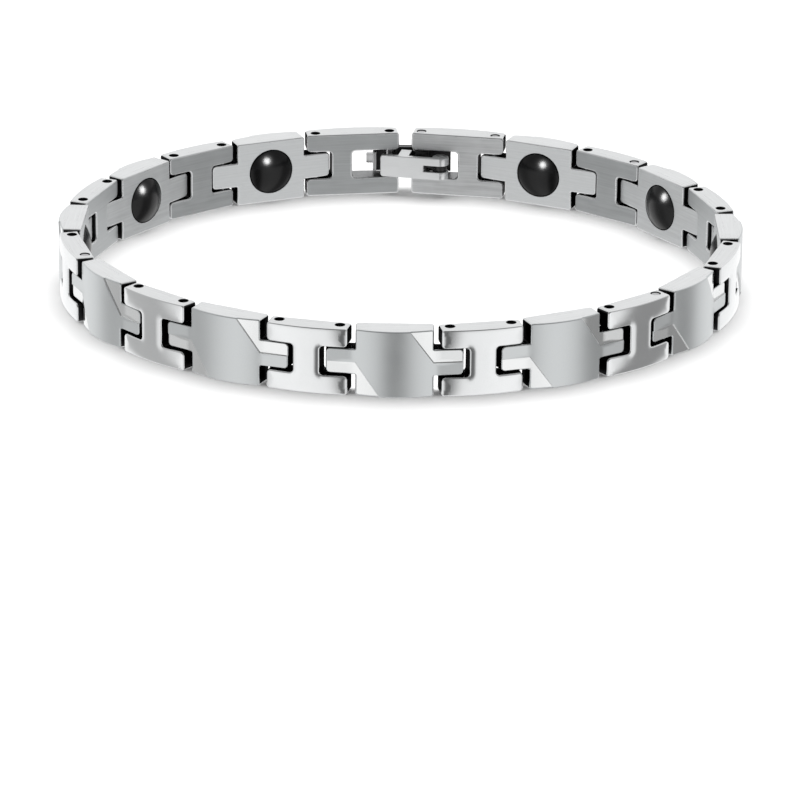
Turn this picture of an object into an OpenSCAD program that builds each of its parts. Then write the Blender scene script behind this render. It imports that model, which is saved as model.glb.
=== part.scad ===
// Link bracelet: plate links with magnets, H-shaped links, upright pins and a fold-over clasp.
// The band stands on its lower edge. The clasp is at the back (+Y), the front plate at -Y.

/* [Loop] */
// Width of the band, from its lower to its upper edge
band_w = 6.3; // [5.6:0.1:8]
// Depth of the loop as a share of its width
loop_aspect = 0.88; // [0.8:0.01:1]

/* [Plate links] */
// Length of a plate between its tongues
plate_len = 7; // [6:0.1:9]
// How far the outer face of a plate bulges above its ends
plate_crown = 0.6; // [0.2:0.05:0.8]
// Height of a tongue
tongue_h = 2.45; // [1.8:0.05:2.8]
// How far a tongue reaches past its pin
tongue_tip = 1.25; // [0.8:0.05:1.35]
// Thickness of a tongue
tongue_t = 1.7; // [1.4:0.05:1.8]
// Depth of the polished steps in the outer face
step_depth = 0.12; // [0.05:0.01:0.25]
// Distance from the end of the plate to where the slanting step meets its long edge
step_len = 2.2; // [1.5:0.1:3]

/* [H links] */
// Length of an H link
link_len = 7.5; // [7:0.1:9]
// Width of the bar between its two notches
link_bar = 2.45; // [1.8:0.05:2.6]
// How far the outer face of an H link bulges above its ends
link_crown = 0.35; // [0.1:0.05:0.6]
// Room between the end of an H link and the plate beside it
joint_gap = 0.49; // [0.4:0.01:0.9]
// Room above and below a tongue in its notch
tongue_gap = 0.16; // [0.1:0.01:0.25]

/* [Thickness and pins] */
// Thickness of a plate at its ends
plate_t = 1.85; // [1.6:0.05:2.4]
// Thickness of an H link at its ends
link_t = 1.75; // [1.6:0.05:2.4]
// Distance from the inner face to the pins
pin_in = 0.7; // [0.6:0.05:1.05]
// Distance from the end of an H link to its pin
pin_inset = 0.94; // [0.8:0.02:1.1]
// Diameter of a pin
pin_d = 0.84; // [0.6:0.02:1]
// Depth of a recessed pin below the edge of its link
pin_recess = 0.4; // [0.2:0.05:0.8]
// Depth of a pin that is ground nearly flush
pin_flush = 0.05; // [0.02:0.01:0.1]
// Clearance round a pin, on the radius
pin_gap = 0.03; // [0.02:0.01:0.06]

/* [Magnets] */
// Diameter of a magnet
magnet_d = 4.3; // [3:0.1:4.8]
// Depth of a magnet in its pocket
magnet_seat = 0.8; // [0.5:0.05:1]
// Height of the dome above the inner face
magnet_dome = 0.6; // [0.3:0.05:0.9]

/* [Clasp] */
// Length of a clasp link
clasp_len = 9.18; // [8.8:0.02:11]
// Depth of the notch that faces the clasp
clasp_notch = 4.66; // [4.5:0.02:4.8]
// How far the outer face of a clasp link bulges above its ends
clasp_crown = 0.55; // [0.2:0.05:0.8]
// Distance from the end of a clasp link to its clasp pin
clasp_inset = 0.9; // [0.86:0.02:1.1]
// Room between the two clasp links
clasp_gap = 1.38; // [0.9:0.02:1.6]
// Height of the hook arm
hook_h = 2.5; // [2:0.05:2.6]
// Thickness of the hook arm
hook_t = 0.6; // [0.4:0.05:0.8]
// Radius of the barrel of the hook arm
barrel_r = 0.8; // [0.7:0.02:0.85]
// Width of the neck between the barrel and the plate of the hook arm
neck_w = 0.8; // [0.6:0.05:1.2]
// How far the plate of the hook arm runs past its own pin
hook_tail = 2.9; // [1:0.05:3]
// Room between the hook arm and the pin that it passes
hook_room = 0.33; // [0.2:0.01:0.5]
// Distance from that pin to the turned-in end of the hook
hook_reach = 1.28; // [0.9:0.02:1.4]
// Thickness of the turned-in end
hook_end_t = 0.34; // [0.2:0.02:0.5]
// How far the end turns in past the pin line
hook_turn = 0.2; // [0:0.05:0.4]
// Height of the turned-in end
hook_end_h = 1.9; // [1.2:0.05:2.4]
// Length of the finger tab beyond the turned-in end
tab_len = 0.65; // [0.3:0.05:0.9]
// Height of the finger tab
tab_h = 0.95; // [0.6:0.05:1.4]
// Distance of the lever's hinge from its pin, along the chain
hinge_x = 1.9; // [1.6:0.02:2]
// Distance of the lever's hinge from the pin line, inwards
hinge_in = 1.75; // [1.65:0.02:1.9]
// Diameter of the hinge pin
hinge_d = 0.56; // [0.4:0.02:0.7]
// Radius of the knuckle of the hook arm
knuckle_r = 0.6; // [0.5:0.02:0.7]
// Height of the knuckle
knuckle_h = 0.5; // [0.3:0.05:0.8]
// Width of the web between the knuckle and the barrel
web_w = 0.84; // [0.6:0.02:1.1]
// Clearance above and below the knuckle
knuckle_gap = 0.06; // [0.04:0.01:0.1]
// Reach of the lever from its hinge to its free end
lever_len = 5.88; // [5.4:0.02:6.2]
// Height of the lever
lever_h = 2.2; // [1.8:0.05:2.5]
// Thickness of the lever's plate
lever_t = 0.5; // [0.35:0.05:0.6]
// Radius of the lever's round hinge end
lever_r = 0.8; // [0.75:0.01:0.9]
// Angle of the closed lever to the line between the clasp pins
lever_angle = 10.5; // [8:0.5:12]
// Length of the block that drops between the clasp pins
block_len = 1.1; // [0.8:0.05:1.15]
// Height of that block above the hinge line
block_rise = 1.4; // [0.9:0.05:1.5]

/* [Hidden] */
$fn = 96;
slop = 1;                 // how far a cutting shape runs past what it cuts
side_pairs = 5;           // H and plate pairs on each side of the front plate
steps = 26;               // halvings of each search below
widest_turn = 60;         // no chord of the chain spans more degrees of the loop
loop_search = [0.9, 1.35];  // half widths tried, as shares of a round loop's radius
crown_fn = 256;

// Pin distances of the three kinds of link
plate_pitch = plate_len + 2 * (joint_gap + pin_inset);
link_pitch = link_len - 2 * pin_inset;
clasp_pitch = clasp_len - pin_inset - clasp_inset;
clasp_span = clasp_gap + 2 * clasp_inset;
notch_h = tongue_h + 2 * tongue_gap;
link_notch = (link_len - link_bar) / 2;
mid_z = band_w / 2;

// The pins lie on an ellipse. Half of the chain runs from the front plate to the clasp.
half_chain = concat([for (i = [1:side_pairs]) each [link_pitch, plate_pitch]], [clasp_pitch]);
chain_len = plate_pitch + clasp_span + 2 * sum(half_chain);

function sum(v, i = 0) = i == len(v) ? 0 : v[i] + sum(v, i + 1);
function on_loop(a, s) = [a * cos(s), a * loop_aspect * sin(s)];

// Angle of the point that lies one chord further round, found by halving
function next_angle(a, s, chord, low, high, n = steps) =
    let (m = (low + high) / 2)
    n == 0 ? m
    : norm(on_loop(a, m) - on_loop(a, s)) < chord
        ? next_angle(a, s, chord, m, high, n - 1)
        : next_angle(a, s, chord, low, m, n - 1);

function walk(a, s, chords, i = 0) =
    i == len(chords) ? [s]
    : concat([s], walk(a, next_angle(a, s, chords[i], s, s + widest_turn), chords, i + 1));

function pin_angles(a) = walk(a, -acos(plate_pitch / 2 / a), half_chain);

// Half width of the loop at which the chain closes across the clasp
function closing(low, high, n = steps) =
    let (m = (low + high) / 2, s = pin_angles(m))
    n == 0 ? m
    : s[len(s) - 1] > 90 || on_loop(m, s[len(s) - 1])[0] < clasp_span / 2
        ? closing(m, high, n - 1)
        : closing(low, m, n - 1);

round_r = chain_len / 2 / PI;
loop_r = closing(loop_search[0] * round_r, loop_search[1] * round_r);
centred = [for (s = pin_angles(loop_r)) on_loop(loop_r, s)];
pin_count = len(centred);

// Outer faces at the front and back, which centre the whole band on the origin
plate_out = plate_t - pin_in + plate_crown;
hook_in = pin_d / 2 + hook_room;
hook_out = hook_in + hook_t;
front_y = centred[0][1] - plate_out;
back_y = centred[pin_count - 1][1] + hook_out;
centre_y = (front_y + back_y) / 2;

pins = [for (p = centred) p - [0, centre_y]];
pins_left = [for (p = pins) [-p[0], p[1]]];
clasp_y = pins[pin_count - 1][1];

// Magnets and pockets
dome_r = (pow(magnet_d / 2, 2) + pow(magnet_dome, 2)) / 2 / magnet_dome;
seat_gap = 0.04;

// Corners
tip_r = 0.4;
notch_r = 0.35;
arm_r = 0.3;
plate_r = 0.15;

// Clasp places, from the middle of the clasp on the pin line
hinge_at = [clasp_span / 2 + hinge_x, -hinge_in];
slot_len = 1.55;
block_back = 0.12;        // room between the block and the barrel
barrel_on_lever = clasp_turned(-[hinge_x, -hinge_in]);
block_end = barrel_on_lever[0] - barrel_r - block_back;
lever_corner = 0.3;

function clasp_turned(v) = [
    v[0] * cos(lever_angle) - v[1] * sin(lever_angle),
    v[0] * sin(lever_angle) + v[1] * cos(lever_angle)
];
function arc_r(length, rise) = (pow(length / 2, 2) + pow(rise, 2)) / 2 / rise;

steel = [0.74, 0.75, 0.76];
bright = [0.86, 0.87, 0.88];
black = [0.07, 0.07, 0.08];

// Flat rectangle with round corners, centred
module round_rect(l, h, r) {
    square([l - 2 * r, h], center = true);
    square([l, h - 2 * r], center = true);
    for (x = [-1, 1], y = [-1, 1])
        translate([x * (l / 2 - r), y * (h / 2 - r)]) circle(r);
}

// Upright outline turned to face outwards, from inner face to past the outer face
module face_prism(depth) {
    translate([0, pin_in, mid_z])
        rotate([90, 0, 0])
            linear_extrude(depth) children();
}

// Round rod along the band's width
module rod(r, from_z, to_z) {
    translate([0, 0, from_z]) cylinder(r = r, h = to_z - from_z);
}

// Everything inside the crowned outer face of a link with ends thick mm thick, drop mm below it
module crown_space(length, rise, thick, drop = 0) {
    r = arc_r(length, rise);
    translate([0, pin_in - thick - rise + r, -slop])
        cylinder(r = r - drop, h = band_w + 2 * slop, $fn = crown_fn);
}

// Slanted corner zone of the outer face that is stepped down, seen from outside
module step_zone() {
    reach = plate_pitch / 2 + tongue_tip + slop;
    half = plate_len / 2;
    below = mid_z + slop;
    polygon([[-reach, 0], [-half, 0], [-half + step_len * below / mid_z, -below], [-reach, -below]]);
}

// Plate link in its own frame: x along the chain, y inwards, z up, pins at y = 0
module plate() {
    reach = plate_pitch / 2 + tongue_tip;
    difference() {
        union() {
            intersection() {
                face_prism(plate_t + plate_crown) round_rect(plate_len, band_w, plate_r);
                crown_space(plate_len, plate_crown, plate_t);
            }
            face_prism(tongue_t) round_rect(2 * reach, tongue_h, tip_r);
        }
        // Stepped corners of the body, and the lower half of each tongue
        for (turn = [0, 180])
            translate([0, 0, mid_z]) rotate([0, turn, 0]) translate([0, 0, -mid_z]) {
                difference() {
                    face_prism(plate_t + plate_crown + slop)
                        intersection() {
                            step_zone();
                            square([plate_len, 2 * band_w], center = true);
                        }
                    crown_space(plate_len, plate_crown, plate_t, step_depth);
                }
                translate([0, -tongue_t + step_depth, 0])
                    face_prism(slop)
                        difference() {
                            step_zone();
                            square([plate_len, 2 * band_w], center = true);
                        }
            }
        // Pin holes through the tongues
        for (x = [-1, 1])
            translate([x * plate_pitch / 2, 0, 0])
                rod(pin_d / 2 + pin_gap, -slop, band_w + slop);
        // Pocket for the magnet
        translate([0, pin_in - magnet_seat - seat_gap, mid_z])
            rotate([-90, 0, 0])
                cylinder(d = magnet_d + 2 * seat_gap, h = magnet_seat + slop);
    }
}

// H link in its own frame
module h_link(length, crown, notch_left, notch_right, pin_left, pin_right) {
    difference() {
        intersection() {
            face_prism(link_t + crown) round_rect(length, band_w, arm_r);
            crown_space(length, crown, link_t);
        }
        face_prism(link_t + crown + slop) {
            translate([-length / 2 + notch_left - (notch_left + slop) / 2, 0])
                round_rect(notch_left + slop, notch_h, notch_r);
            translate([length / 2 - notch_right + (notch_right + slop) / 2, 0])
                round_rect(notch_right + slop, notch_h, notch_r);
        }
        for (x = [pin_left, pin_right])
            translate([x, 0, 0])
                rod(pin_d / 2 + pin_gap, -slop, band_w + slop);
    }
}

module link() {
    h_link(link_len, link_crown, link_notch, link_notch, -link_pitch / 2, link_pitch / 2);
}

// Clasp link whose deep notch is at its right-hand end, seen from outside
module clasp_link() {
    h_link(clasp_len, clasp_crown, link_notch, clasp_notch,
        -clasp_len / 2 + pin_inset, clasp_len / 2 - clasp_inset);
}

// Two upright pins, each recessed by its own depth
module pin_pair(x_left, x_right, depth_left, depth_right) {
    translate([x_left, 0, 0]) rod(pin_d / 2, depth_left, band_w - depth_left);
    translate([x_right, 0, 0]) rod(pin_d / 2, depth_right, band_w - depth_right);
}

module magnet() {
    translate([0, pin_in - magnet_seat, mid_z])
        rotate([-90, 0, 0]) {
            cylinder(d = magnet_d, h = magnet_seat);
            intersection() {
                translate([0, 0, magnet_seat + magnet_dome - dome_r]) sphere(dome_r);
                cylinder(d = magnet_d, h = magnet_seat + magnet_dome + slop);
            }
        }
}

// Puts a link on the chain, its left and right pins at p and q seen from outside
module on_chain(p, q) {
    middle = (p + q) / 2;
    translate([middle[0], middle[1], 0])
        rotate([0, 0, atan2(q[1] - p[1], q[0] - p[0])])
            children();
}

// The clasp link's pins are not the same distance from its ends
clasp_shift = (pin_inset - clasp_inset) / 2;

module plate_node(p, q) {
    color(steel) on_chain(p, q) plate();
}

module link_node(p, q) {
    color(bright) on_chain(p, q) link();
}

module magnet_node(p, q) {
    color(black) on_chain(p, q) magnet();
}

module pins_node(p, q, pitch, depths) {
    color(bright) on_chain(p, q) pin_pair(-pitch / 2, pitch / 2, depths[0], depths[1]);
}

module clasp_link_right() {
    color(bright)
        on_chain(pins[pin_count - 2], pins[pin_count - 1])
            translate([-clasp_shift, 0, 0]) clasp_link();
}

module clasp_link_left() {
    color(bright)
        on_chain(pins_left[pin_count - 1], pins_left[pin_count - 2])
            translate([clasp_shift, 0, 0]) mirror([1, 0, 0]) clasp_link();
}

// Slab of the clasp, centred on the band's height
module clasp_slab(h) {
    translate([0, clasp_y, mid_z - h / 2]) linear_extrude(h) children();
}

// Hook arm: barrel on the right clasp pin, plate outside both pins, end turned in, knuckle
module clasp_hook() {
    barrel = [clasp_span / 2, 0];
    end_x = -clasp_span / 2 - hook_reach;
    color(bright)
        difference() {
            union() {
                clasp_slab(hook_h) {
                    translate(barrel) circle(barrel_r);
                    translate([end_x - hook_end_t, hook_in])
                        square([barrel[0] - end_x + hook_end_t + hook_tail, hook_t]);
                    translate([barrel[0] - neck_w / 2, 0]) square([neck_w, hook_in + hook_t / 2]);
                }
                clasp_slab(hook_end_h)
                    translate([end_x - hook_end_t, -hook_turn])
                        square([hook_end_t, hook_turn + hook_in + hook_t / 2]);
                clasp_slab(tab_h)
                    translate([end_x - hook_end_t - tab_len, hook_in])
                        square([tab_len + hook_end_t / 2, hook_t]);
                clasp_slab(knuckle_h) {
                    translate(hinge_at) circle(knuckle_r);
                    translate(barrel)
                        rotate([0, 0, atan2(hinge_at[1] - barrel[1], hinge_at[0] - barrel[0])])
                            translate([0, -web_w / 2])
                                square([norm(hinge_at - barrel), web_w]);
                }
            }
            translate([barrel[0], clasp_y, 0]) rod(pin_d / 2 + pin_gap, -slop, band_w + slop);
            translate([hinge_at[0], clasp_y + hinge_at[1], 0])
                rod(hinge_d / 2 + pin_gap, -slop, band_w + slop);
        }
}

// Fold-over lever: plate on the inside, fork round the knuckle, block between the pins
module clasp_lever() {
    slot_h = knuckle_h + 2 * knuckle_gap;
    color(steel)
        translate([hinge_at[0], clasp_y + hinge_at[1], mid_z])
            rotate([0, 0, -lever_angle])
                difference() {
                    union() {
                        translate([0, 0, -lever_h / 2]) cylinder(r = lever_r, h = lever_h);
                        translate([-lever_len / 2, -lever_r + lever_t, 0])
                            rotate([90, 0, 0])
                                linear_extrude(lever_t) {
                                    round_rect(lever_len, lever_h, lever_corner);
                                    translate([lever_len / 4, 0])
                                        square([lever_len / 2, lever_h], center = true);
                                }
                        translate([block_end - block_len, -lever_r + lever_t / 2, -lever_h / 2])
                            cube([block_len, lever_r - lever_t / 2 + block_rise, lever_h]);
                    }
                    translate([-slot_len, -lever_r - slop, -slot_h / 2])
                        cube([slot_len + lever_r + slop, 2 * (lever_r + slop), slot_h]);
                    rod(hinge_d / 2 + pin_gap / 2, -lever_h, lever_h);
                }
}

module clasp_hinge_pin() {
    color(bright)
        translate([hinge_at[0], clasp_y + hinge_at[1], 0])
            rod(hinge_d / 2, mid_z - lever_h / 2, mid_z + lever_h / 2);
}

// Depths of the two pins of each H link, seen from outside: some are ground flush
deep = [pin_recess, pin_recess];
depths_right = [deep, [pin_recess, pin_flush], deep, deep, [pin_flush, pin_recess]];
depths_left = [deep, deep, [pin_recess, pin_flush], deep, deep];

plate_node(pins_left[0], pins[0]);  // plate_front
magnet_node(pins_left[0], pins[0]);  // magnet_front
for (i = [1:side_pairs]) {
    h = 2 * i - 2;
    link_node(pins[h], pins[h + 1]);
    link_node(pins_left[h + 1], pins_left[h]);
    plate_node(pins[h + 1], pins[h + 2]);
    plate_node(pins_left[h + 2], pins_left[h + 1]);
    magnet_node(pins[h + 1], pins[h + 2]);
    magnet_node(pins_left[h + 2], pins_left[h + 1]);
    pins_node(pins[h], pins[h + 1], link_pitch, depths_right[i - 1]);
    pins_node(pins_left[h + 1], pins_left[h], link_pitch, depths_left[i - 1]);
}
clasp_link_right();
clasp_link_left();
pins_node(pins[pin_count - 2], pins[pin_count - 1], clasp_pitch, [pin_flush, pin_flush]);  // pins_clasp_right
pins_node(pins_left[pin_count - 1], pins_left[pin_count - 2], clasp_pitch, deep);  // pins_clasp_left
clasp_hook();
clasp_lever();
clasp_hinge_pin();
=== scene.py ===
"""Looks of a link bracelet: stepped plates, polished H links, upright pins, domed magnets
and a fold-over clasp."""

import math

import bmesh
import bpy
import numpy as np
from mathutils import Matrix, Vector
from mathutils.geometry import delaunay_2d_cdt


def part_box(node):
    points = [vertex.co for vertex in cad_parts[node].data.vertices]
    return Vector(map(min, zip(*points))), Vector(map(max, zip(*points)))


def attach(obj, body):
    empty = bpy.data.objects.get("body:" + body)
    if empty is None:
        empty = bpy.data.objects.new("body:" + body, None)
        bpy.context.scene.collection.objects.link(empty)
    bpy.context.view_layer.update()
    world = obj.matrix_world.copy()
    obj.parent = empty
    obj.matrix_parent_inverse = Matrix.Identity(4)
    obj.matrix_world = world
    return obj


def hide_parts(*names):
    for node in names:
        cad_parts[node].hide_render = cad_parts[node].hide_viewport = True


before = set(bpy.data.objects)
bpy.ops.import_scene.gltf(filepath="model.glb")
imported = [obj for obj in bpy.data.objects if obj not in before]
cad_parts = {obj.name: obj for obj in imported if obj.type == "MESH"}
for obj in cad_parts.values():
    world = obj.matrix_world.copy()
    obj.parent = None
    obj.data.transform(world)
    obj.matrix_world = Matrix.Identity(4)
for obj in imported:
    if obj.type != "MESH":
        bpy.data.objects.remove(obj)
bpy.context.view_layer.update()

MM = 0.001

# Sizes in millimetres. A link's own frame has x along the chain, y inwards and z up,
# with its pins at y = 0.
BAND = (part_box("plate_front")[1].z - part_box("plate_front")[0].z) / MM
MID = BAND / 2
PIN_IN = 0.7              # inner face to pin line
PIN_R = 0.42
PIN_LIP = 0.07            # rounding of a pin's end
PIN_BULGE = 0.01          # how far the middle of that end stands out
BORE_R = 0.45
BORE_LIP = 0.03           # chamfer of a bore's mouth
PLATE_LEN = 7
PLATE_T = 1.85            # thickness at its ends
PLATE_CROWN = 0.6
PLATE_PITCH = 9.86        # between its pins
TONGUE_H = 2.45
TONGUE_TIP = 1.25         # reach past its pin
TONGUE_GAP = 0.16         # room above and below it in its notch
TONGUE_EASE = 0.5         # length over which the crown passes into a tongue's slope
TONGUE_SLOPE = 0.13
TONGUE_REACH = PLATE_PITCH / 2 + TONGUE_TIP
STEP_DEPTH = 0.12
STEP_LEN = 2.2
STEP_EDGE = 0.07          # width of the slant that leads down into a step
LINK_LEN = 7.5
LINK_T = 1.75             # thickness at its ends
LINK_BAR = 2.45
LINK_CROWN = 0.35
LINK_PITCH = 5.62         # between its pins
NOTCH_DEPTH = (LINK_LEN - LINK_BAR) / 2
NOTCH_H = TONGUE_H + 2 * TONGUE_GAP
CLASP_LEN = 9.18
CLASP_NOTCH = 4.66
CLASP_CROWN = 0.55
PIN_INSET = 0.94
CLASP_INSET = 0.9
PIN_RECESS = 0.4
PIN_FLUSH = 0.05
MAGNET_R = 2.15
MAGNET_SEAT = 0.8
MAGNET_DOME = 0.6
MAGNET_LIP = 0.06
DOME_EDGE = 0.97          # share of the dome's angle at which its own rings begin
NECK_HALF = 0.9           # half width of the hook arm's neck, from the middle of the clasp
SEAT_GAP = 0.08           # room round a magnet
SEAT_LIP = 0.03           # chamfer of its pocket
POINT_R = 0.01            # ring round the middle of a turned end

# Finish of the edges
BACK_ROLL = 0.14
FRONT_ROLL = 0.12
CORNER_R = 0.22
ROOT_R = 0.12
TIP_R = 0.4
EDGE_R = 0.3
ARM_R = 0.4
NOTCH_R = 0.35
PILLOW_W = 0.8            # width over which an H link's face falls away towards its edges
PILLOW_DROP = 0.09
HOOK_BEVEL = 0.08
LEVER_BEVEL = 0.07
HINGE_BEVEL = 0.04

# Fineness of the meshes
ARC_STEPS = 6
ROLL_STEPS = 4
CIRCLE_STEPS = 40
ROUND_STEPS = 96          # round a magnet and its pocket
DOME_STEPS = 20
LIP_STEPS = 4
BEVEL_STEPS = 3
SPACING = 0.35            # along an outline
BACK_GRID, BACK_ROOM = 0.5, 0.15      # between points inside a face, and between them and its edge
PLATE_GRID, PLATE_ROOM = 0.3, 0.1
LINK_GRID, LINK_ROOM = 0.24, 0.08
ROLL_TURNS = [math.pi / 2 * k / ROLL_STEPS for k in range(ROLL_STEPS + 1)]

# Tolerances
NEAR = 0.1                # a wall whose middle is this near to an end of the band is part of that end
MARK_NEAR = 0.01          # a mark this near to a side lies on it
MARK_ROOM = 0.05          # room that a mark has to itself
LINE_ROOM = 0.08          # room beside a drawn line
PROBE = 0.01              # step of the differences that give a slope
TINY = 1e-12
WELD = 1e-7
FLAT_DEG = 1
SHARP_DEG = 35

# Finishes of a link's faces, by their place in its list of materials. The walls inside gaps, bores and
# pockets get a near-black painted shade, and the floor of a clasp link's notch a lighter painted shade
BACK, EDGE, PAINTED_SHADE, FACE, FACET, RISER = range(6)
NOTCH = FACET             # no link has a facet: the floor of a clasp link's long notch takes its place, with a lighter painted shade


def unit(v):
    return v / np.linalg.norm(v, axis=-1, keepdims=True)


def at_depth(points, depth):
    """Plane points of a face, moved into space at the given depth or depths."""
    return np.column_stack([points[:, 0], np.broadcast_to(depth, len(points)), points[:, 1]])


def facing(normal):
    """Function that gives each point of a flat face its normal."""
    return lambda points: np.tile(normal, (len(points), 1))


class Shape:
    """Collects points and faces with a normal at each corner, and makes one mesh of them."""

    def __init__(self):
        self.points, self.faces, self.normals, self.finish = [], [], [], []

    def add(self, coords):
        first = len(self.points)
        self.points.extend(np.asarray(coords, float))
        return np.arange(first, len(self.points))

    def take(self, other, shift):
        """Adds a copy of another shape, moved by shift."""
        first = len(self.points)
        self.points.extend(p + shift for p in other.points)
        self.faces.extend([i + first for i in ids] for ids in other.faces)
        self.normals.extend(other.normals)
        self.finish.extend(other.finish)

    def face(self, ids, normals, finish):
        ids, normals = list(ids), [np.asarray(n, float) for n in normals]
        a, b, c = (self.points[i] for i in ids[:3])
        way = np.cross(b - a, c - b)
        if len(ids) > 3:
            way = way + np.cross(c - b, self.points[ids[3]] - c)
        if way @ sum(normals) < 0:
            ids, normals = ids[::-1], normals[::-1]
        self.faces.append(ids)
        self.normals.append(normals)
        self.finish.append(finish)

    def strip(self, ring_a, ring_b, normals_a, normals_b, finish, skip=()):
        """Quads between two closed rings of as many points, apart from the gaps to skip."""
        count = len(ring_a)
        finish = np.broadcast_to(finish, count)
        for k in range(count):
            if k not in skip:
                j = (k + 1) % count
                self.face((ring_a[k], ring_a[j], ring_b[j], ring_b[k]),
                          (normals_a[k], normals_a[j], normals_b[j], normals_b[k]), int(finish[k]))

    def fill(self, loops, extra, lines, place, normal, finish):
        """Triangles inside loops[0] and outside the other loops, through the extra points
        and along the lines. A loop is (ids, plane points); place and normal turn plane
        points into space."""
        plane = np.concatenate([flat for _, flat in loops] + ([extra] if len(extra) else []))
        ids = np.concatenate([i for i, _ in loops] + ([self.add(place(extra))] if len(extra) else []))
        edges, first = [], 0
        for _, flat in loops:
            count = len(flat)
            edges += [(first + k, first + (k + 1) % count) for k in range(count)]
            first += count
        for line in lines:
            near = [int(np.argmin(np.linalg.norm(plane - p, axis=1))) for p in line]
            edges += [(a, b) for a, b in zip(near, near[1:]) if a != b]
        found, _, triangles, origins, _, _ = delaunay_2d_cdt(
            [Vector(p) for p in plane], edges, [], 0, 1e-6, True)
        flat = np.array([tuple(p) for p in found])
        match = []
        for p, origin in zip(flat, origins):
            match.append(ids[origin[0]] if origin else self.add(place(p[None]))[0])
        tris = np.array([t for t in triangles if len(t) == 3])
        middle = flat[tris].mean(1)
        keep = inside(middle, loops[0][1])
        for _, hole in loops[1:]:
            keep &= ~inside(middle, hole)
        tris, middle = tris[keep], middle[keep]
        at = normal(flat)
        for t, m in zip(tris, middle):
            corner = [match[i] for i in t]
            if len(set(corner)) == 3:
                self.face(corner, [at[i] for i in t], finish(m) if callable(finish) else finish)

    def mesh(self, name, materials, flat_finish=()):
        data = bpy.data.meshes.new(name)
        data.from_pydata([Vector(p) * MM for p in self.points], [], self.faces)
        for m in materials:
            data.materials.append(m)
        data.polygons.foreach_set("material_index", self.finish)
        data.polygons.foreach_set("use_smooth", [True] * len(self.faces))
        corners = []
        for ids, normals, finish in zip(self.faces, self.normals, self.finish):
            if finish in flat_finish:
                a, b, c = (self.points[i] for i in ids[:3])
                corners += [tuple(unit(np.cross(b - a, c - b)))] * len(ids)
            else:
                corners += [tuple(unit(n)) for n in normals]
        data.normals_split_custom_set(corners)
        keep_place(data, self.points)
        return data


def keep_place(data, points):
    """Stores where each point lies in its piece's own frame, in millimetres, for the grain of its steel."""
    data.attributes.new("place", "FLOAT_VECTOR", "POINT").data.foreach_set("vector", np.ravel(points))


def inside(points, polygon):
    """Which of the points lie inside a closed plane polygon."""
    found = np.zeros(len(points), bool)
    for a, b in zip(polygon, np.roll(polygon, -1, 0)):
        spans = (a[1] > points[:, 1]) != (b[1] > points[:, 1])
        rise = b[1] - a[1] if abs(b[1] - a[1]) > TINY else TINY
        found ^= spans & (points[:, 0] < (b[0] - a[0]) * (points[:, 1] - a[1]) / rise + a[0])
    return found


def distance(points, line, closed=True):
    """Distance of each point from a polyline."""
    ends = np.roll(line, -1, 0) if closed else line[1:]
    starts = line if closed else line[:-1]
    best = np.full(len(points), np.inf)
    for a, b in zip(starts, ends):
        along = np.clip((points - a) @ (b - a) / max((b - a) @ (b - a), TINY), 0, 1)
        best = np.minimum(best, np.linalg.norm(points - a - along[:, None] * (b - a), axis=1))
    return best


def circle(centre, radius, count=CIRCLE_STEPS):
    turn = 2 * np.pi * np.arange(count) / count
    return np.stack([centre[0] + radius * np.cos(turn), centre[1] + radius * np.sin(turn)], 1)


def corner_arc(place, before, after, radius):
    """Points and normals of a rounded corner between sides with the outward normals before and after."""
    turn = math.atan2(before[0] * after[1] - before[1] * after[0], before @ after)
    bulge = math.copysign(radius, turn)
    centre = place - bulge * (before + after) / (1 + before @ after)
    arc = []
    for k in range(ARC_STEPS + 1):
        a = turn * k / ARC_STEPS
        n = np.array([before[0] * math.cos(a) - before[1] * math.sin(a),
                      before[0] * math.sin(a) + before[1] * math.cos(a)])
        arc.append((centre + bulge * n, n))
    return arc


def side_shares(a, b, marks):
    """Where the points between a and b lie, as shares of the way: evenly, and at each mark on it."""
    length = np.linalg.norm(b - a)
    shares = list(np.arange(1, round(length / SPACING)) / max(round(length / SPACING), 1))
    for mark in marks:
        share = (mark - a) @ (b - a) / length ** 2
        if 0 < share < 1 and np.linalg.norm(a + share * (b - a) - mark) < MARK_NEAR:
            shares = [s for s in shares if abs(s - share) * length > MARK_ROOM] + [share]
    return sorted(shares)


def outline(corners, marks=()):
    """Closed outline through (x, z, radius) corners, counterclockwise: its points, their
    outward normals, and for each gap between points the number of the straight side that
    it lies on, or -1."""
    places = np.array([c[:2] for c in corners], float)
    runs = unit(np.roll(places, -1, 0) - places)
    outward = np.stack([runs[:, 1], -runs[:, 0]], 1)
    arcs = [corner_arc(places[i], outward[i - 1], outward[i], c[2]) for i, c in enumerate(corners)]
    points, normals, sides = [], [], []
    for i, arc in enumerate(arcs):
        for p, n in arc:
            points.append(p)
            normals.append(n)
            sides.append(-1)
        sides[-1] = i
        a, b = arc[-1][0], arcs[(i + 1) % len(arcs)][0][0]
        for share in side_shares(a, b, marks):
            points.append(a + share * (b - a))
            normals.append(arc[-1][1])
            sides.append(i)
    return np.array(points), np.array(normals), np.array(sides)


def wall_finishes(beside, normals, open_end):
    """Finish of each wall round a link, from its middle and its outward normal. Walls at the band's edges
    and at the open end are shown steel, those of the notch there that look up get a lighter painted shade,
    and the rest a near-black painted shade.
    """
    shown = np.abs(beside[:, 1] - MID) > MID - NEAR
    if open_end is not None:
        shown |= np.abs(beside[:, 0] - open_end) < NEAR
    finishes = np.where(shown, EDGE, PAINTED_SHADE)
    if open_end is not None:
        # notch floors that look up get the lighter painted shade
        looks_up = normals[:, 1] > 0.5
        finishes[looks_up & (beside[:, 0] * open_end > 0) & ~shown] = NOTCH
    return finishes


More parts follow.
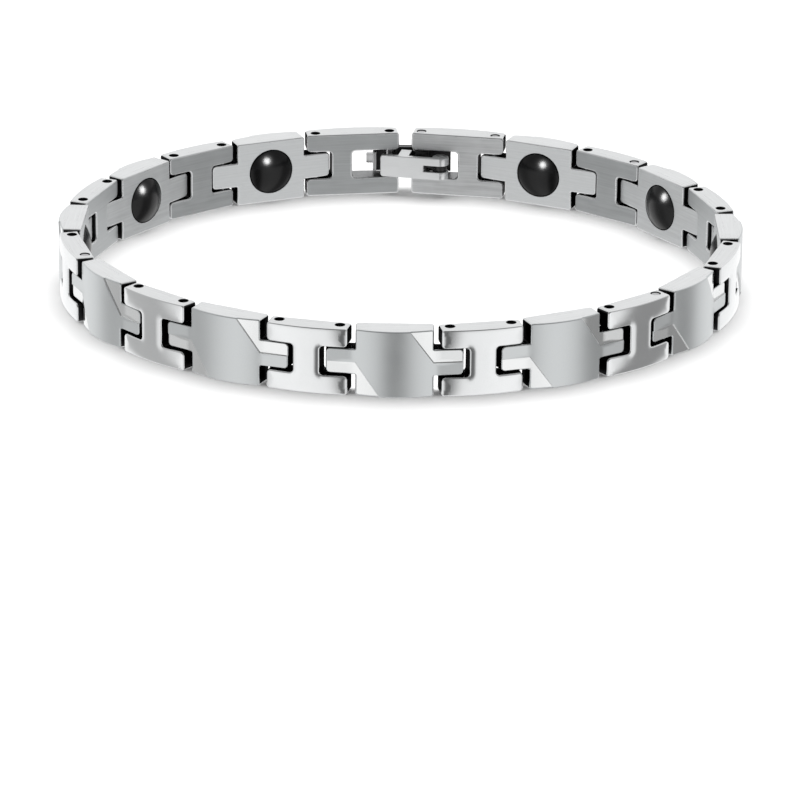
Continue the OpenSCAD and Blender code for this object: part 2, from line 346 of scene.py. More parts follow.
def rolled_rings(points, normals, front, front_normal):
    """Rings of (plane points, depths, normals) from the edge of the inner face to that of the outer one."""
    normals3 = np.stack([normals[:, 0], 0 * normals[:, 0], normals[:, 1]], 1)
    rings = []
    for a in ROLL_TURNS:
        at = points - BACK_ROLL * (1 - math.sin(a)) * normals
        y = np.full(len(at), PIN_IN - BACK_ROLL * (1 - math.cos(a)))
        rings.append((at, y, math.cos(a) * np.array([0, 1, 0]) + math.sin(a) * normals3))
    inset = points - FRONT_ROLL * normals
    depth, out = front(inset), front_normal(inset)
    for a in ROLL_TURNS:
        at = points - FRONT_ROLL * (1 - math.cos(a)) * normals
        y = depth + FRONT_ROLL * (1 - math.sin(a))
        rings.append((at, y, unit(math.cos(a) * normals3 + math.sin(a) * out)))
    return rings


def bored_wall(shape, edge, level, n, places, finish):
    """Level wall inside the ring of points edge, with a chamfered hole at each x of places,
    whose chamfer gets the near-black painted shade. Returns each x with the level, points
    and normals of the hole's throat."""
    flat = np.array([shape.points[i][:2] for i in edge])
    loops, throats = [(edge, flat)], []
    for x in places:
        rim = circle((x, 0), BORE_R + BORE_LIP)
        rim_ids = shape.add(np.column_stack([rim, np.full(len(rim), level)]))
        loops.append((rim_ids, rim))
        throat = circle((x, 0), BORE_R)
        inward = np.column_stack([(np.array([x, 0]) - throat) / BORE_R, np.zeros(len(throat))])
        throat_ids = shape.add(np.column_stack([throat, np.full(len(throat), level - BORE_LIP * n[2])]))
        shape.strip(rim_ids, throat_ids, unit(inward + n), unit(inward + n), PAINTED_SHADE)
        throats.append((x, (level, throat_ids, inward)))
    shape.fill(loops, np.zeros((0, 2)), (), None, facing(n), finish)
    return throats


def slab(shape, line, front, front_normal, holes, open_end=None):
    """Walls of a link with the given outline, rolled over at its inner and outer edges.
    Its outer face is at y = front(points). holes holds, for a level side's number, the x of
    each bore in it. The walls at open_end are finished like the upper and lower edge, those
    of the notch there that look up get a lighter painted shade, and the other walls and the
    bores a near-black painted shade. Returns the rings round the inner and the outer face."""
    points, normals, sides = line
    wall_finish = wall_finishes((points + np.roll(points, -1, 0)) / 2, normals, open_end)
    rings = rolled_rings(points, normals, front, front_normal)
    ids = [shape.add(at_depth(at, y)) for at, y, _ in rings]
    bored = {k for k, side in enumerate(sides) if side in holes}
    for k in range(len(rings) - 1):
        wall = k == ROLL_STEPS
        finish = wall_finish if wall else EDGE if k < ROLL_STEPS else FACE
        shape.strip(ids[k], ids[k + 1], rings[k][2], rings[k + 1][2], finish, bored if wall else ())
    mouths = {}
    for side, places in holes.items():
        gaps = np.flatnonzero(sides == side)
        run = np.append(gaps, gaps[-1] + 1) % len(points)
        edge = np.concatenate([ids[ROLL_STEPS][run], ids[ROLL_STEPS + 1][run][::-1]])
        level, n = points[run[0], 1], normals[run[0]]
        finish = int(wall_finish[gaps[0]])
        for x, throat in bored_wall(shape, edge, level, np.array([n[0], 0, n[1]]), places, finish):
            mouths.setdefault(x, []).append(throat)
    for throats in mouths.values():
        throats.sort(key=lambda t: t[0])
        for low, high in zip(throats[::2], throats[1::2]):
            # the bore between two throats: near-black painted shade
            shape.strip(low[1], high[1], low[2], high[2], PAINTED_SHADE)
    return (ids[0], rings[0][0]), (ids[-1], rings[-1][0])


def grid(loops, step, margin):
    """Points of a square grid inside loops[0] and outside the others, clear of their edges."""
    low, high = loops[0].min(0), loops[0].max(0)
    xs = np.linspace(low[0], high[0], round((high[0] - low[0]) / step) + 1)
    zs = np.linspace(low[1], high[1], round((high[1] - low[1]) / step) + 1)
    points = np.stack(np.meshgrid(xs, zs), -1).reshape(-1, 2)
    keep = inside(points, loops[0]) & (distance(points, loops[0]) > margin)
    for hole in loops[1:]:
        keep &= ~inside(points, hole) & (distance(points, hole) > margin)
    return points[keep]


def crown(x, length, rise, thick):
    """Depth of a link's crowned outer face, thick mm from its inner face at the ends."""
    radius = ((length / 2) ** 2 + rise ** 2) / 2 / rise
    return PIN_IN - thick - rise + radius - np.sqrt(radius ** 2 - x ** 2)


def slope_normal(height):
    """Outward normals of the surface y = height(points), by small differences."""
    def normals(points):
        dx, dz = np.array([PROBE, 0]), np.array([0, PROBE])
        gx = (height(points + dx) - height(points - dx)) / 2 / PROBE
        gz = (height(points + dz) - height(points - dz)) / 2 / PROBE
        return unit(np.stack([gx, -np.ones(len(points)), gz], 1))
    return normals


def back_cap(shape, ring, holes):
    """Flat inner face of a link inside ring, apart from its holes."""
    flats = [ring[1]] + [flat for _, flat in holes]
    extra = grid(flats, BACK_GRID, BACK_ROOM)
    shape.fill([ring] + holes, extra, (), lambda p: at_depth(p, PIN_IN), facing([0, 1, 0]), BACK)


# Plates

def plate_face(points):
    """Depth of the outer face of a plate: crowned over its body, with a gentle slope along its tongues."""
    x = np.abs(points[:, 0])
    half = PLATE_LEN / 2
    radius = (half ** 2 + PLATE_CROWN ** 2) / 2 / PLATE_CROWN
    slope = half / math.sqrt(radius ** 2 - half ** 2)
    eased = np.clip(x - half, 0, TONGUE_EASE)
    root = slope * eased - (slope - TONGUE_SLOPE) / 2 / TONGUE_EASE * eased ** 2
    straight = np.maximum(x - half - TONGUE_EASE, 0)
    return crown(np.minimum(x, half), PLATE_LEN, PLATE_CROWN, PLATE_T) + root + TONGUE_SLOPE * straight


def into_step(points):
    """How far points lie past the edge of the step at the lower left, or of its twin at the upper right."""
    points = np.where((points[:, 1] > MID)[:, None], np.array([0, BAND]) - points, points)
    slant = unit(np.array([STEP_LEN, -MID]))
    corner = np.array([-PLATE_LEN / 2, MID])
    to_level = MID - points[:, 1]
    to_slant = (points - corner) @ np.array([slant[1], -slant[0]])
    return np.minimum(to_level, to_slant)


def stepped_face(points):
    """Depth of the outer face of a plate with its steps."""
    return plate_face(points) + STEP_DEPTH * np.clip(into_step(points) / STEP_EDGE, 0, 1)


def step_finish(point):
    """Finish of the outer face of a plate at a point."""
    past = into_step(point[None])[0]
    return FACE if past < 0 else RISER if past < STEP_EDGE else FACET


def step_line(shift):
    """Edge of the lower left step, moved into the step by shift."""
    slant = unit(np.array([STEP_LEN, -MID]))
    off = shift * np.array([slant[1], -slant[0]])
    corner_x = -PLATE_LEN / 2 + off[0] + (shift + off[1]) * STEP_LEN / MID
    corner_z = MID - shift
    low_x = corner_x + (corner_z - FRONT_ROLL) * STEP_LEN / MID
    return np.array([[-TONGUE_REACH + FRONT_ROLL, corner_z], [corner_x, corner_z], [low_x, FRONT_ROLL]])


def pocket(shape):
    """Round pocket for the magnet in the back of a plate, its wall and floor coloured near-black as painted
    shade. Returns the ring round its mouth.
    """
    centre = (0, MID)
    radius = MAGNET_R + SEAT_GAP
    rim, wall = circle(centre, radius + SEAT_LIP, ROUND_STEPS), circle(centre, radius, ROUND_STEPS)
    toward, up = at_depth(unit(np.array(centre) - wall), 0), np.array([0, 1, 0])
    floor_y = PIN_IN - MAGNET_SEAT
    rings = [shape.add(at_depth(flat, y))
             for flat, y in ((rim, PIN_IN), (wall, PIN_IN - SEAT_LIP), (wall, floor_y))]
    shape.strip(rings[0], rings[1], unit(toward + up), unit(toward + up), EDGE)
    shape.strip(rings[1], rings[2], toward, toward, PAINTED_SHADE)
    shape.fill([(rings[2], wall)], np.array([centre]), (), lambda p: at_depth(p, floor_y), facing(up), PAINTED_SHADE)
    return rings[0], rim


def plate_mesh(materials):
    half, low, high = PLATE_LEN / 2, MID - TONGUE_H / 2, MID + TONGUE_H / 2
    right = [(half, 0, CORNER_R), (half, low, ROOT_R), (TONGUE_REACH, low, TIP_R),
             (TONGUE_REACH, high, TIP_R), (half, high, ROOT_R), (half, BAND, CORNER_R)]
    left = [(-x, BAND - z, r) for x, z, r in right]
    lines = [step_line(0), step_line(STEP_EDGE)]
    lines += [[0, BAND] - line for line in lines]
    marks = []
    for line in lines:
        for p in (line[0], line[-1]):
            marks += [p + [0, -FRONT_ROLL], p + [0, FRONT_ROLL], p + [FRONT_ROLL, 0], p - [FRONT_ROLL, 0]]
    line = outline(right + left, marks)
    shape = Shape()
    pin = PLATE_PITCH / 2
    holes = {1: [pin], 3: [pin], 7: [-pin], 9: [-pin]}
    back, front = slab(shape, line, stepped_face, slope_normal(plate_face), holes)
    back_cap(shape, back, [pocket(shape)])
    extra = grid([front[1]], PLATE_GRID, PLATE_ROOM)
    for drawn in lines:
        extra = extra[distance(extra, drawn, False) > LINE_ROOM]
    extra = np.concatenate([extra, np.array([drawn[1] for drawn in lines])])
    shape.fill([front], extra, lines, lambda p: at_depth(p, stepped_face(p)), slope_normal(plate_face),
               step_finish)
    return shape.mesh("plate", materials, flat_finish=(RISER,))


# H links

def link_mesh(name, length, rise, notches, pins, materials, open_end=None):
    """H link with its left and right notch depths and pin places."""
    half = length / 2
    low, high = MID - NOTCH_H / 2, MID + NOTCH_H / 2
    inner_l, inner_r = -half + notches[0], half - notches[1]
    corners = [(half, 0, EDGE_R), (half, low, ARM_R), (inner_r, low, NOTCH_R), (inner_r, high, NOTCH_R),
               (half, high, ARM_R), (half, BAND, EDGE_R), (-half, BAND, EDGE_R), (-half, high, ARM_R),
               (inner_l, high, NOTCH_R), (inner_l, low, NOTCH_R), (-half, low, ARM_R), (-half, 0, EDGE_R)]
    line = outline(corners)

    def face(points):
        inward = np.clip(1 - distance(points, line[0]) / PILLOW_W, 0, 1)
        return crown(np.clip(points[:, 0], -half, half), length, rise, LINK_T) + PILLOW_DROP * inward ** 2

    shape = Shape()
    left, right = pins
    holes = {11: [left, right], 1: [right], 3: [right], 5: [left, right], 7: [left], 9: [left]}
    back, front = slab(shape, line, face, slope_normal(face), holes, open_end)
    back_cap(shape, back, [])
    extra = grid([front[1]], LINK_GRID, LINK_ROOM)
    shape.fill([front], extra, (), lambda p: at_depth(p, face(p)), slope_normal(face), FACE)
    return shape.mesh(name, materials)


# Turned pieces

def turned(shape, profile, finish, count=CIRCLE_STEPS):
    """Surface turned about the z axis from (radius, z, normal angle in degrees) rows, closed at radius 0."""
    turn = 2 * np.pi * np.arange(count) / count
    spoke = np.column_stack([np.cos(turn), np.sin(turn), np.zeros(count)])
    rings = []
    for radius, z, angle in profile:
        a = math.radians(angle)
        normal = spoke * math.cos(a) + np.array([0, 0, math.sin(a)])
        rings.append((shape.add(spoke * max(radius, 1e-4) + [0, 0, z]), normal))
    for (ids_a, n_a), (ids_b, n_b) in zip(rings, rings[1:]):
        shape.strip(ids_a, ids_b, n_a, n_b, finish)
    for ids, normal in (rings[0], rings[-1]):
        centre = shape.add([np.mean([shape.points[i] for i in ids], 0)])[0]
        axis = np.array([0, 0, np.sign(normal[0][2])])
        for k in range(count):
            j = (k + 1) % count
            shape.face((ids[k], ids[j], centre), (normal[k], normal[j], axis), finish)


def magnet_mesh(materials):
    radius = (MAGNET_R ** 2 + MAGNET_DOME ** 2) / 2 / MAGNET_DOME
    rim = math.degrees(math.asin(MAGNET_R / radius))
    lip, edge_z = MAGNET_LIP, MAGNET_SEAT - MAGNET_LIP
    rows = [(POINT_R, 0, -90), (MAGNET_R - lip, 0, -90), (MAGNET_R, lip, 0), (MAGNET_R, edge_z, 0)]
    for k in range(LIP_STEPS):
        a = math.radians(k / LIP_STEPS * (90 - rim))
        rows.append((MAGNET_R - lip * (1 - math.cos(a)), edge_z + lip * math.sin(a), math.degrees(a)))
    for k in range(DOME_STEPS + 1):
        a = math.radians(rim * (1 - k / DOME_STEPS) * DOME_EDGE)
        z = MAGNET_SEAT + MAGNET_DOME - radius * (1 - math.cos(a))
        rows.append((radius * math.sin(a), z, 90 - math.degrees(a)))
    shape = Shape()
    turned(shape, rows, 0, ROUND_STEPS)
    return shape.mesh("magnet", materials)


def pins_mesh(name, places, depths, materials):
    """Upright pins at the x of places, each as far below both edges of the band as its depth says."""
    shape = Shape()
    for x, depth in zip(places, depths):
        rod = Shape()
        top = BAND - depth
        turned(rod, [(POINT_R, depth, -90), (PIN_R - PIN_LIP, depth + PIN_BULGE, -85),
                     (PIN_R, depth + PIN_LIP, 0), (PIN_R, top - PIN_LIP, 0),
                     (PIN_R - PIN_LIP, top - PIN_BULGE, 85), (POINT_R, top, 90)], 0)
        shape.take(rod, [x, 0, 0])
    return shape.mesh(name, materials)


# Nodes of materials and of the world

def wire(tree, value, socket):
    """Links an output to a socket, or sets the socket to a plain value."""
    if isinstance(value, bpy.types.NodeSocket):
        tree.links.new(value, socket)
    else:
        socket.default_value = value


def math_node(tree, operation, *values, clamp=False):
    node = tree.nodes.new("ShaderNodeMath")
    node.operation = operation
    node.use_clamp = clamp
    for socket, value in zip(node.inputs, values):
        wire(tree, value, socket)
    return node.outputs[0]


def mix(tree, factor, a, b):
    node = tree.nodes.new("ShaderNodeMix")
    node.data_type = "RGBA"
    for name, value in (("Factor", factor), ("A", a), ("B", b)):
        wire(tree, value, node.inputs[name])
    return node.outputs["Result"]


def map_range(tree, source, start, end, low=0, high=1, kind="LINEAR"):
    node = tree.nodes.new("ShaderNodeMapRange")
    node.interpolation_type = kind
    for name, value in (("Value", source), ("From Min", start), ("From Max", end),
                        ("To Min", low), ("To Max", high)):
        wire(tree, value, node.inputs[name])
    return node.outputs["Result"]


def own_place(tree):
    """Where a point lies in its piece's own frame, in millimetres."""
    node = tree.nodes.new("ShaderNodeAttribute")
    node.attribute_name = "place"
    return node.outputs["Vector"]


def noise(tree, where, scale, detail, roughness=0.5):
    node = tree.nodes.new("ShaderNodeTexNoise")
    for name, value in (("Vector", where), ("Scale", scale), ("Detail", detail), ("Roughness", roughness)):
        wire(tree, value, node.inputs[name])
    return node.outputs["Fac"]


def new_material(name):
    material = bpy.data.materials.new(name)
    material.use_nodes = True
    return material, material.node_tree, material.node_tree.nodes["Principled BSDF"]


# Materials

FINE_SHARE = 0.6          # of the fine grain, beside broad clouds
CLOUD_SCALE = 0.35
GRAIN_LOW, GRAIN_HIGH = 0.35, 0.65    # noise that counts as its darkest and its lightest
GRAIN_DEPTH = 0.01
LEAST_ROUGH = 0.02


def steel(name, colour, roughness, grain, bump, spread, tone):
    """Stainless steel whose fine grain is noise stretched by grain, in the piece's own axes.
    It varies the roughness by spread and the colour by the share tone."""
    material, tree, shader = new_material(name)
    shader.inputs["Metallic"].default_value = 1
    where = own_place(tree)
    stretch = tree.nodes.new("ShaderNodeMapping")
    wire(tree, where, stretch.inputs["Vector"])
    wire(tree, grain, stretch.inputs["Scale"])
    fine = noise(tree, stretch.outputs["Vector"], 1, 4, 0.65)
    broad = math_node(tree, "MULTIPLY", noise(tree, where, CLOUD_SCALE, 2), 1 - FINE_SHARE)
    blend = math_node(tree, "MULTIPLY_ADD", fine, FINE_SHARE, broad)
    contrast = map_range(tree, blend, GRAIN_LOW, GRAIN_HIGH)
    dark = [c * (1 - tone) for c in colour] + [1]
    light = [min(c * (1 + tone), 1) for c in colour] + [1]
    wire(tree, mix(tree, contrast, dark, light), shader.inputs["Base Color"])
    rough = map_range(tree, contrast, 0, 1, max(roughness - spread, LEAST_ROUGH), roughness + spread)
    wire(tree, rough, shader.inputs["Roughness"])
    relief = tree.nodes.new("ShaderNodeBump")
    relief.inputs["Strength"].default_value = bump
    relief.inputs["Distance"].default_value = GRAIN_DEPTH * MM
    wire(tree, fine, relief.inputs["Height"])
    wire(tree, relief.outputs["Normal"], shader.inputs["Normal"])
    return material


def magnet_black():
    """Glossy black of the magnets, faintly clouded."""
    material, tree, shader = new_material("magnet_black")
    cloud = noise(tree, own_place(tree), 1.2, 5)
    black = mix(tree, cloud, (0.0015, 0.0015, 0.0018, 1), (0.004, 0.004, 0.0044, 1))
    wire(tree, black, shader.inputs["Base Color"])
    wire(tree, map_range(tree, cloud, 0, 1, 0.17, 0.23), shader.inputs["Roughness"])
    shader.inputs["IOR"].default_value = 1.34
    return material


BRUSHED = (0.25, 6, 6)        # long grain along the chain
BRUSHED_BACK = (0.15, 4.5, 4.5)
SATIN = (9, 9, 9)
# Name, colour, roughness, grain, bump, spread and tone of each steel
STEELS = [
    ("plate_back", (0.69, 0.705, 0.71), 0.5, BRUSHED_BACK, 0.6, 0.08, 0.12),
    ("plate_edge", (0.74, 0.75, 0.755), 0.3, BRUSHED, 0.08, 0.06, 0.08),
    # painted shade: near-black steel on the walls inside gaps, bores and pockets, standing in for the shade
    # there
    ("recess_painted_shade", (0.03, 0.03, 0.031), 0.4, (6, 6, 0.4), 0.2, 0.06, 0.03),
    ("plate_satin", (0.62, 0.64, 0.645), 0.36, SATIN, 0.03, 0.03, 0.03),
    ("plate_polish", (0.78, 0.79, 0.79), 0.12, SATIN, 0.02, 0.03, 0.03),
    ("step_edge", (0.82, 0.83, 0.83), 0.5, SATIN, 0.02, 0.06, 0.03),
    ("link_back", (0.47, 0.485, 0.49), 0.45, BRUSHED_BACK, 0.6, 0.08, 0.14),
    # lighter copy of link_back for the right clasp link: stronger brushing, and painted light
    ("clasp_back", (0.66, 0.67, 0.675), 0.55, BRUSHED_BACK, 0.8, 0.08, 0.2),
    ("link_edge", (0.72, 0.73, 0.735), 0.3, BRUSHED, 0.1, 0.06, 0.08),
    ("link_polish", (0.76, 0.77, 0.775), 0.14, SATIN, 0.02, 0.03, 0.03),
    ("pin_steel", (0.5, 0.5, 0.51), 0.3, (4, 4, 4), 0.1, 0.06, 0.03),
    ("hook_satin", (0.62, 0.625, 0.63), 0.34, BRUSHED, 0.15, 0.06, 0.03),
    # painted shade: near-black on the hook arm's faces behind the lever
    ("hook_painted_shade", (0.05, 0.05, 0.051), 0.4, BRUSHED, 0.15, 0.06, 0.03),
    # lighter painted shade on the upward-looking floor of a clasp link's notch
    ("notch_floor_painted_shade", (0.3, 0.305, 0.31), 0.4, (3, 3, 3), 0.4, 0.1, 0.4),
    ("clasp_satin", (0.7, 0.71, 0.715), 0.34, BRUSHED, 0.15, 0.06, 0.03),
]
FINISH = {row[0]: steel(*row) for row in STEELS}
# the painted shade's gloss gets a grey tint
PAINTED_SHADE_SHADER = FINISH["recess_painted_shade"].node_tree.nodes["Principled BSDF"]
PAINTED_SHADE_SHADER.inputs["Specular Tint"].default_value = (0.2, 0.2, 0.2, 1)
FINISH["magnet"] = magnet_black()


def finishes(*names):
    return [FINISH[name] for name in names]


PLATE_FINISH = finishes("plate_back", "plate_edge", "recess_painted_shade", "plate_satin", "plate_polish", "step_edge")
LINK_FINISH = finishes("link_back", "link_edge", "recess_painted_shade", "link_polish", "notch_floor_painted_shade")
# the right clasp link's inner face is painted lighter than its left twin's
CLASP_FINISH = {"left": LINK_FINISH, "right": finishes("clasp_back") + LINK_FINISH[1:]}


# Placing

SIDE_PAIRS = 5
# Which of the two pins of a link are ground flush, as seen from outside
FLUSH = {"link_right_2": (0, 1), "link_right_5": (1, 0), "link_left_3": (0, 1), "clasp_link_right": (1, 1)}


def rods(node):
    """Centres of the two upright rods of a pins node, in millimetres, counterclockwise round the loop."""
    flat = np.array([v.co[:2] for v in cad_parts[node].data.vertices]) / MM
    far = flat[np.argmax(np.linalg.norm(flat - flat[0], axis=1))]
    first = np.linalg.norm(flat - flat[0], axis=1) < np.linalg.norm(flat - far, axis=1)
    centres = [(flat[g].min(0) + flat[g].max(0)) / 2 for g in (first, ~first)]
    a, b = centres
    return (a, b) if a[0] * b[1] - a[1] * b[0] > 0 else (b, a)


def pin_pairs():
    """The two pins that carry each plate and link."""
    pairs = {}
    for side in ("right", "left"):
        for i in range(1, SIDE_PAIRS + 1):
            pairs["link_%s_%d" % (side, i)] = rods("pins_%s_%d" % (side, i))
        pairs["clasp_link_" + side] = rods("pins_clasp_" + side)
    for i in range(1, SIDE_PAIRS + 1):
        after = "link_right_%d" % (i + 1) if i < SIDE_PAIRS else "clasp_link_right"
        before = "link_left_%d" % (i + 1) if i < SIDE_PAIRS else "clasp_link_left"
        pairs["plate_right_%d" % i] = (pairs["link_right_%d" % i][1], pairs[after][0])
        pairs["plate_left_%d" % i] = (pairs[before][1], pairs["link_left_%d" % i][0])
    pairs["plate_front"] = (pairs["link_left_1"][1], pairs["link_right_1"][0])
    return pairs


def on_chain(p, q):
    """Matrix of a link's own frame, with its left and right pins at p and q seen from outside."""
    x = unit(q - p)
    middle = (p + q) / 2 * MM
    return Matrix(((x[0], -x[1], 0, middle[0]), (x[1], x[0], 0, middle[1]), (0, 0, 1, 0), (0, 0, 0, 1)))


def put(name, data, matrix, body, nodes):
    """Piece made of the mesh moved by matrix, so that its place is in its mesh as on a CAD node."""
    data.transform(matrix)
    piece = bpy.data.objects.new(name, data)
    bpy.context.scene.collection.objects.link(piece)
    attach(piece, body)
    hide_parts(*nodes)
    return piece


def clasp_meshes():
    """The two clasp links, mirrored, each with the shift that its uneven pins give it."""
    pins = (-CLASP_LEN / 2 + PIN_INSET, CLASP_LEN / 2 - CLASP_INSET)
    shift = (PIN_INSET - CLASP_INSET) / 2 * MM
    right = link_mesh("clasp_link_right", CLASP_LEN, CLASP_CROWN, (NOTCH_DEPTH, CLASP_NOTCH), pins,
                      CLASP_FINISH["right"], CLASP_LEN / 2)
    left = link_mesh("clasp_link_left", CLASP_LEN, CLASP_CROWN, (CLASP_NOTCH, NOTCH_DEPTH),
                     (-pins[1], -pins[0]), CLASP_FINISH["left"], -CLASP_LEN / 2)
    return {"right": (right, -shift), "left": (left, shift)}


def show_links(chain):
    """Plates with their magnets, H links and clasp links."""
    plate_data = plate_mesh(PLATE_FINISH)
    link_data = link_mesh("link", LINK_LEN, LINK_CROWN, (NOTCH_DEPTH, NOTCH_DEPTH),
                          (-LINK_PITCH / 2, LINK_PITCH / 2), LINK_FINISH)
    clasp_data = clasp_meshes()
    magnet_data = magnet_mesh(finishes("magnet"))
    seat = Matrix.Translation((0, (PIN_IN - MAGNET_SEAT) * MM, MID * MM))
    seat = seat @ Matrix.Rotation(-math.pi / 2, 4, "X")
    for name, (p, q) in chain.items():
        at = on_chain(p, q)
        if name.startswith("plate"):
            put(name + "_shown", plate_data.copy(), at, "bracelet", [name])
            stone = name.replace("plate", "magnet")
            put(stone + "_shown", magnet_data.copy(), at @ seat, "bracelet", [stone])
        elif name.startswith("link"):
            put(name + "_shown", link_data.copy(), at, "bracelet", [name])
        else:
            data, shift = clasp_data[name.rsplit("_", 1)[1]]
            at = at @ Matrix.Translation((shift, 0, 0))
            put(name + "_shown", data, at, "bracelet", [name])


def show_pins(chain):
    for name, (p, q) in chain.items():
        if "link" in name:
            half = np.linalg.norm(q - p) / 2
            depths = [PIN_FLUSH if flush else PIN_RECESS for flush in FLUSH.get(name, (0, 0))]
            pins = name.replace("clasp_link", "pins_clasp").replace("link", "pins")
            data = pins_mesh(pins, (-half, half), depths, finishes("pin_steel"))
            put(pins + "_shown", data, on_chain(p, q), "bracelet", [pins])


# Clasp

def merged_copy(node):
    """Object with a CAD piece's mesh, its flat faces each in one piece."""
    rough = bpy.data.objects.new(node.name + "_rough", node.data.copy())
    bpy.context.scene.collection.objects.link(rough)
    plain = bmesh.new()
    plain.from_mesh(rough.data)
    bmesh.ops.remove_doubles(plain, verts=plain.verts, dist=WELD)
    bmesh.ops.dissolve_limit(plain, angle_limit=math.radians(FLAT_DEG), verts=plain.verts, edges=plain.edges)
    plain.to_mesh(rough.data)
    plain.free()
    return rough


def softened(name, body, material, width, in_painted_shade=None, painted_shade_material=None):
    """Copy of a CAD piece with its sharp edges rolled over, shown in its place.
    The faces that the given test of (centre, normal) picks get the second material, a near-black painted
    shade."""
    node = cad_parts[name]
    rough = merged_copy(node)
    for polygon in rough.data.polygons:
        polygon.use_smooth = True
    bevel = rough.modifiers.new("edges", "BEVEL")
    bevel.width = width * MM
    bevel.segments = BEVEL_STEPS
    bevel.limit_method = "ANGLE"
    bevel.angle_limit = math.radians(SHARP_DEG)
    rough.modifiers.new("shading", "WEIGHTED_NORMAL")
    data = bpy.data.meshes.new_from_object(rough.evaluated_get(bpy.context.evaluated_depsgraph_get()))
    bpy.data.objects.remove(rough)
    data.materials.clear()
    data.materials.append(material)
    if in_painted_shade:
        data.materials.append(painted_shade_material)
        for polygon in data.polygons:
            polygon.material_index = int(in_painted_shade(polygon.center, polygon.normal))
    keep_place(data, [v.co / MM for v in data.vertices])
    return put(name + "_shown", data, node.matrix_world.copy(), body, [name])


def behind_lever(centre, normal):
    """Whether a face of the hook arm gets the near-black painted shade of the hollow behind the lever:
    behind the lever and not outside or on the neck.
    """
    neck_top = normal.z > 0.5 and centre.x < NECK_HALF * MM
    return centre.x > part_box("clasp_lever")[0].x and normal.y < 0.5 and not neck_top


def show_clasp():
    hook_satin, hook_painted_shade, clasp_satin, pin_steel = finishes(
        "hook_satin", "hook_painted_shade", "clasp_satin", "pin_steel")
    # the hook arm's faces behind the lever get the painted shade
    softened("clasp_hook", "hook", hook_satin, HOOK_BEVEL, behind_lever, hook_painted_shade)
    softened("clasp_lever", "lever", clasp_satin, LEVER_BEVEL)
    softened("clasp_hinge_pin", "lever", pin_steel, HINGE_BEVEL)


# Studio: lengths in metres

FLOOR_REACH = 3
# Grey levels of the light around the object, over the angle from the front in degrees:
# below the horizon on the right and on the left, and above it
LOW_RIGHT = [(0, 0.13), (6, 0.13), (16, 0.85), (42, 0.92), (64, 0.8), (76, 0.26), (96, 0.26),
             (113, 0.88), (180, 0.95)]
LOW_LEFT = [(0, 0.13), (6, 0.13), (16, 0.85), (42, 0.92), (62, 0.75), (78, 0.42), (96, 0.44),
            (113, 0.9), (180, 0.95)]
HIGH = [(0, 0.16), (30, 0.18), (60, 0.35), (100, 0.5), (130, 0.75), (180, 0.8)]
HORIZON = (-0.1, 0.25)    # heights between which the lower light passes into the upper
SIDE_BLEND = 4            # how sharply the left passes into the right
WORLD_STRENGTH = 1.25
SPARK_DISTANCE = 0.5
SPARK_SIZE = 0.15


def pale_floor():
    """Paper under the object, not seen in its gloss."""
    data = bpy.data.meshes.new("floor")
    r = FLOOR_REACH
    data.from_pydata([(-r, -r, 0), (r, -r, 0), (r, r, 0), (-r, r, 0)], [], [(0, 1, 2, 3)])
    floor = bpy.data.objects.new("floor", data)
    bpy.context.scene.collection.objects.link(floor)
    paper, _, shader = new_material("paper")
    shader.inputs["Base Color"].default_value = (0.95, 0.95, 0.95, 1)
    shader.inputs["Roughness"].default_value = 0.6
    shader.inputs["Specular IOR Level"].default_value = 0.2
    data.materials.append(paper)
    floor.visible_glossy = False


def ramp(tree, source, stops):
    """Grey level over the angle from the front, from (degrees, level) stops."""
    node = tree.nodes.new("ShaderNodeValToRGB")
    tree.links.new(source, node.inputs["Fac"])
    line = node.color_ramp
    line.interpolation = "EASE"
    while len(line.elements) < len(stops):
        line.elements.new(0.5)
    for element, (degrees, level) in zip(line.elements, stops):
        element.position = degrees / 180
        element.color = (level, level, level, 1)
    return node.outputs["Color"]


def world_light():
    """Light that surrounds the object, by the way it comes from."""
    world = bpy.data.worlds.new("studio")
    bpy.context.scene.world = world
    world.use_nodes = True
    tree = world.node_tree
    split = tree.nodes.new("ShaderNodeSeparateXYZ")
    wire(tree, tree.nodes.new("ShaderNodeTexCoord").outputs["Generated"], split.inputs["Vector"])
    x, y, z = (split.outputs[axis] for axis in "XYZ")
    sideways = math_node(tree, "ABSOLUTE", x)
    frontward = math_node(tree, "MULTIPLY", y, -1)
    around = math_node(tree, "DIVIDE", math_node(tree, "ARCTAN2", sideways, frontward), math.pi)
    low_right, low_left, high = (ramp(tree, around, stops) for stops in (LOW_RIGHT, LOW_LEFT, HIGH))
    is_right = math_node(tree, "ADD", math_node(tree, "MULTIPLY", x, SIDE_BLEND), 0.5, clamp=True)
    upward = map_range(tree, z, *HORIZON, kind="SMOOTHSTEP")
    glow = tree.nodes["Background"]
    wire(tree, mix(tree, upward, mix(tree, is_right, low_left, low_right), high), glow.inputs["Color"])
    glow.inputs["Strength"].default_value = WORLD_STRENGTH


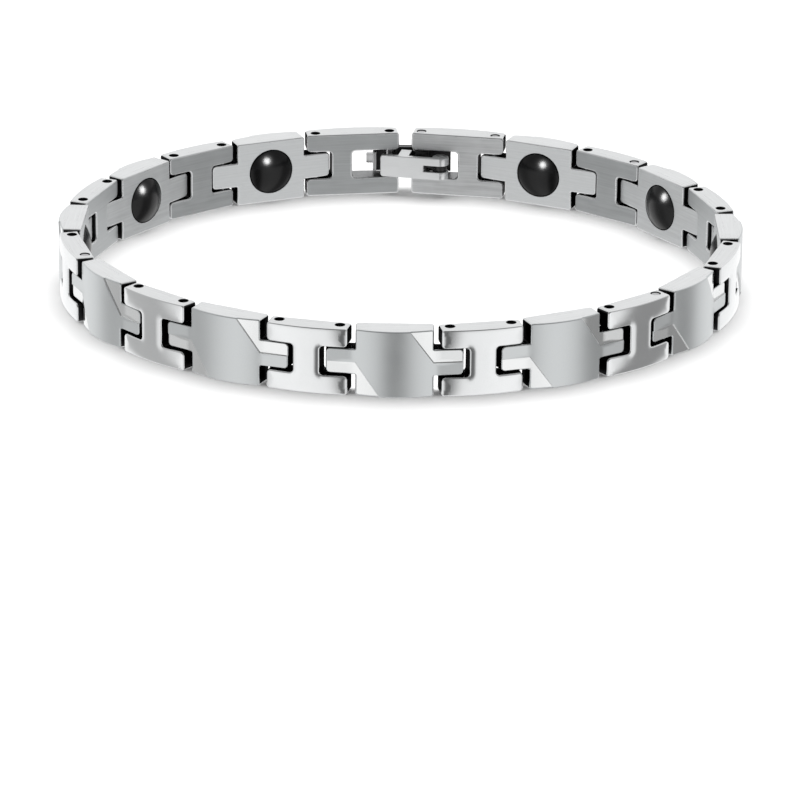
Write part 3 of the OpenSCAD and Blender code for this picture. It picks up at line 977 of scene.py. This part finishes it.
def area_light(name, azimuth, elevation, distance, size, power, shines_on=()):
    """Round lamp aimed at the bracelet. Azimuth 0 is the front and 90 the right, as an observer
    faces it. With pieces to shine on, it shows only as a spark in their gloss. Otherwise it
    lights all that is matt."""
    a, e = math.radians(azimuth), math.radians(elevation)
    place = Vector((math.cos(e) * math.sin(a), -math.cos(e) * math.cos(a), math.sin(e))) * distance
    light = bpy.data.lights.new(name, "AREA")
    light.shape = "DISK"
    light.size = size
    light.energy = power
    holder = bpy.data.objects.new(name, light)
    bpy.context.scene.collection.objects.link(holder)
    holder.location = place
    holder.rotation_euler = (-holder.location).to_track_quat("-Z", "Y").to_euler()
    holder.visible_glossy = bool(shines_on)
    holder.visible_diffuse = not shines_on
    if shines_on:
        lit = bpy.data.collections.new(name)
        for piece in shines_on:
            lit.objects.link(bpy.data.objects[piece + "_shown"])
        holder.light_linking.receiver_collection = lit


def lamps():
    """A broad lamp over the paper, and four whose sparks show on the domed magnets."""
    area_light("over_paper", 180, 80, 1.2, 1.3, 15)
    for side, turn in (("left", 1), ("right", -1)):
        back, beside = ["magnet_%s_5" % side], ["magnet_%s_%d" % (side, i) for i in (3, 4)]
        area_light("spark_back_" + side, turn * 27, 17, SPARK_DISTANCE, SPARK_SIZE, 3.4, back)
        area_light("spark_side_" + side, turn * 75, 14, SPARK_DISTANCE, SPARK_SIZE, 3, beside)


# Camera at the photograph's viewing angle

IMAGE_PX = 800
FOCAL_PX = 5569.4
CAM_TARGET_X = 0.541 * MM
CAM_TARGET_FORWARD = 2.193 * MM       # in front of the front plate's pins
CAM_DISTANCE = 499.1 * MM
CAM_ELEVATION = math.radians(21.534)
CAM_TURN = math.radians(0.854)
CAM_ROLL = math.radians(0.519)


def photo_camera(front_pin):
    data = bpy.data.cameras.new("camera")
    data.lens = data.sensor_width * FOCAL_PX / IMAGE_PX
    data.clip_start = 0.01
    camera = bpy.data.objects.new("camera", data)
    bpy.context.scene.collection.objects.link(camera)
    level = math.cos(CAM_ELEVATION)
    away = Vector((level * math.sin(CAM_TURN), -level * math.cos(CAM_TURN), math.sin(CAM_ELEVATION)))
    right = Vector((math.cos(CAM_TURN), math.sin(CAM_TURN), 0))
    upright = away.cross(right)
    rolled = right * math.cos(CAM_ROLL) + upright * math.sin(CAM_ROLL)
    target = Vector((CAM_TARGET_X, front_pin[1] * MM - CAM_TARGET_FORWARD, 0))
    turn = Matrix((rolled, away.cross(rolled), away)).transposed().to_4x4()
    camera.matrix_world = Matrix.Translation(target + away * CAM_DISTANCE) @ turn
    bpy.context.scene.camera = camera
    bpy.context.scene.view_settings.view_transform = "Standard"


chain = pin_pairs()
show_links(chain)
show_pins(chain)
show_clasp()
pale_floor()
world_light()
lamps()
photo_camera(chain["plate_front"][0])
